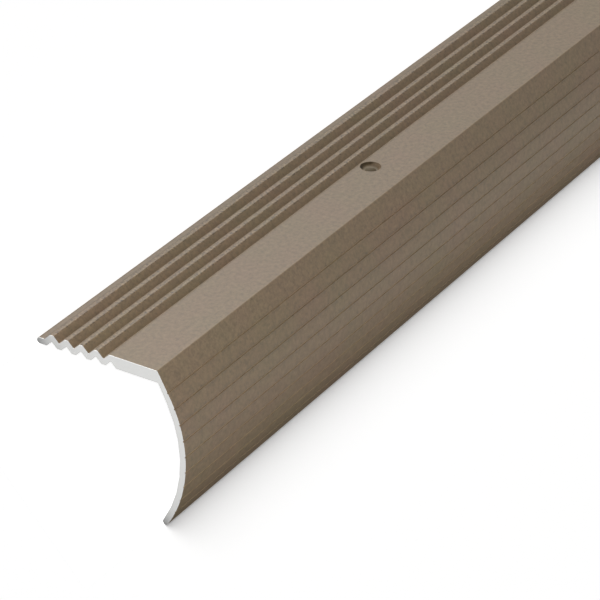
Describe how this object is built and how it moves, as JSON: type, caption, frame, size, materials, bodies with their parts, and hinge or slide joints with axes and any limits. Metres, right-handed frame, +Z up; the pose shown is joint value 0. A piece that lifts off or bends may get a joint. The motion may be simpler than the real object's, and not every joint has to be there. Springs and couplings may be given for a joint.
{
  "type": "stair nosing profile",
  "caption": "Extruded metal angle that caps a step's edge: grooved tread with countersunk screw holes and a bowed front drop with fine lengthwise grooves.",
  "frame": {"origin": "centre of the bounding box on the floor", "axes": "+X along the length, -Y towards the drop side, +Z up; the trim lies on its back lip and on the drop's tip"},
  "size_m": [0.9, 0.0514, 0.0261],
  "materials": {
    "coat": "matte bronze-brown coat with a fine speckle; sawn ends bare metal"
  },
  "bodies": {
    "root": {"stair_nosing": "coat"}
  },
  "joints": []
}
